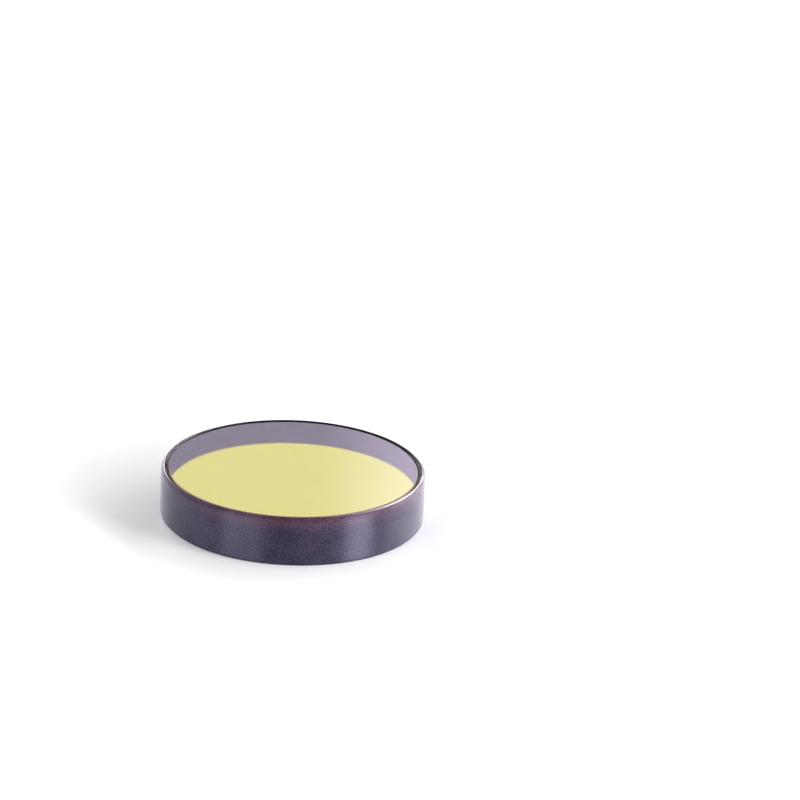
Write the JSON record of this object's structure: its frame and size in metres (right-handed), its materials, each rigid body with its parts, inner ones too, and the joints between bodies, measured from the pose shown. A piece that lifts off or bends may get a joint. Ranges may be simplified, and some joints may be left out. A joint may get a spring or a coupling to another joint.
{
  "type": "optical filter",
  "caption": "Mounted optical filter: a coated glass disc bonded flush into a thin turned ring, with a lip and a shallow recess behind it.",
  "frame": {"origin": "centre of the ring's rear rim, in the plane that the filter rests on", "axes": "+Z along the optical axis, from the recessed lip side towards the flush glass side; X and Y are free, because the filter is round"},
  "size_m": [0.025, 0.025, 0.0048],
  "materials": {
    "black_anodised_ring": "satin black-violet anodise over fine turning lines",
    "coated_glass": "polished, mirror-like thin-film coatings: pale lilac in front, yellow behind",
    "cured_adhesive": "glossy dark cured resin"
  },
  "bodies": {
    "root": {"filter_ring": "black_anodised_ring", "filter_glass": "coated_glass", "edge_adhesive": "cured_adhesive"}
  },
  "joints": []
}
